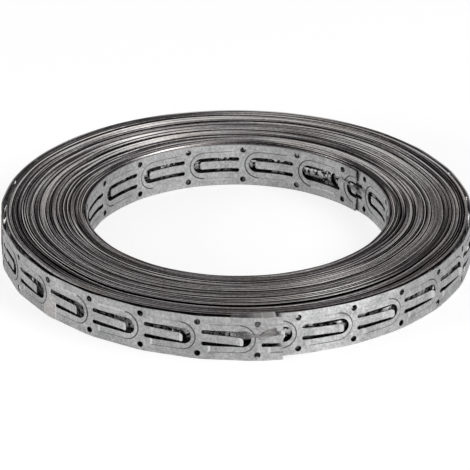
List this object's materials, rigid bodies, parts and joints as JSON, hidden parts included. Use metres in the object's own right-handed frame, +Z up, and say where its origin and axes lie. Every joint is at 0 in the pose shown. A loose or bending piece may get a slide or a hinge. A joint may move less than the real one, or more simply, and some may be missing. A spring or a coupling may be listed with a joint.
{
  "type": "roll of galvanized mounting strap",
  "caption": "Flat roll of punched galvanized steel mounting strap with nail holes, U-shaped tongues and an open bore.",
  "frame": {"origin": "centre of the bore at the lower end face, on the floor", "axes": "+Z up along the bore axis; the cut outer end of the strap is near -Y"},
  "size_m": [0.2054, 0.2074, 0.02],
  "materials": {
    "galvanized_strap": "matt galvanized, light grey with darker cut edges"
  },
  "bodies": {
    "root": {"strap_roll": "galvanized_strap"}
  },
  "joints": []
}
